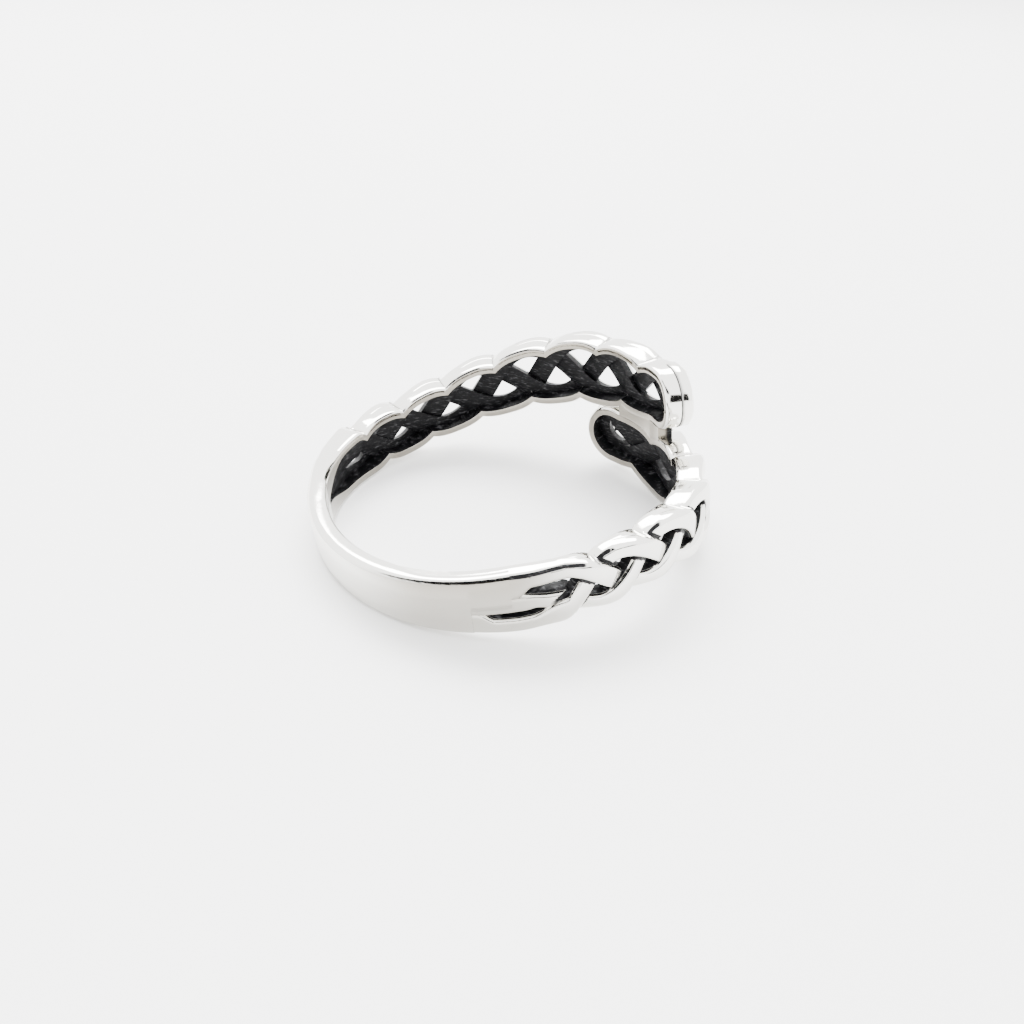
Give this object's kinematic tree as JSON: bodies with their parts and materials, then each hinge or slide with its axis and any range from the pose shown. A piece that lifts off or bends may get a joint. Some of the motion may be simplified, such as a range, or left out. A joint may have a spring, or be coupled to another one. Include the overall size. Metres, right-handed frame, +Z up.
{
  "type": "celtic knot bypass ring",
  "caption": "One-piece silver finger ring: a plain back parts into two pierced, hollow-backed plaited arms with rounded ends that pass each other at the front and join by a web.",
  "frame": {"origin": "on the surface that the ring lies on, under the middle of what it covers", "axes": "+Z up from that surface; +X from the plain back towards the knotted front; +Y towards the side that the upper arm takes"},
  "size_m": [0.0202, 0.0202, 0.008],
  "materials": {
    "silver": "polished, darkened in the recesses"
  },
  "bodies": {
    "root": {"knot_ring": "silver"}
  },
  "joints": []
}
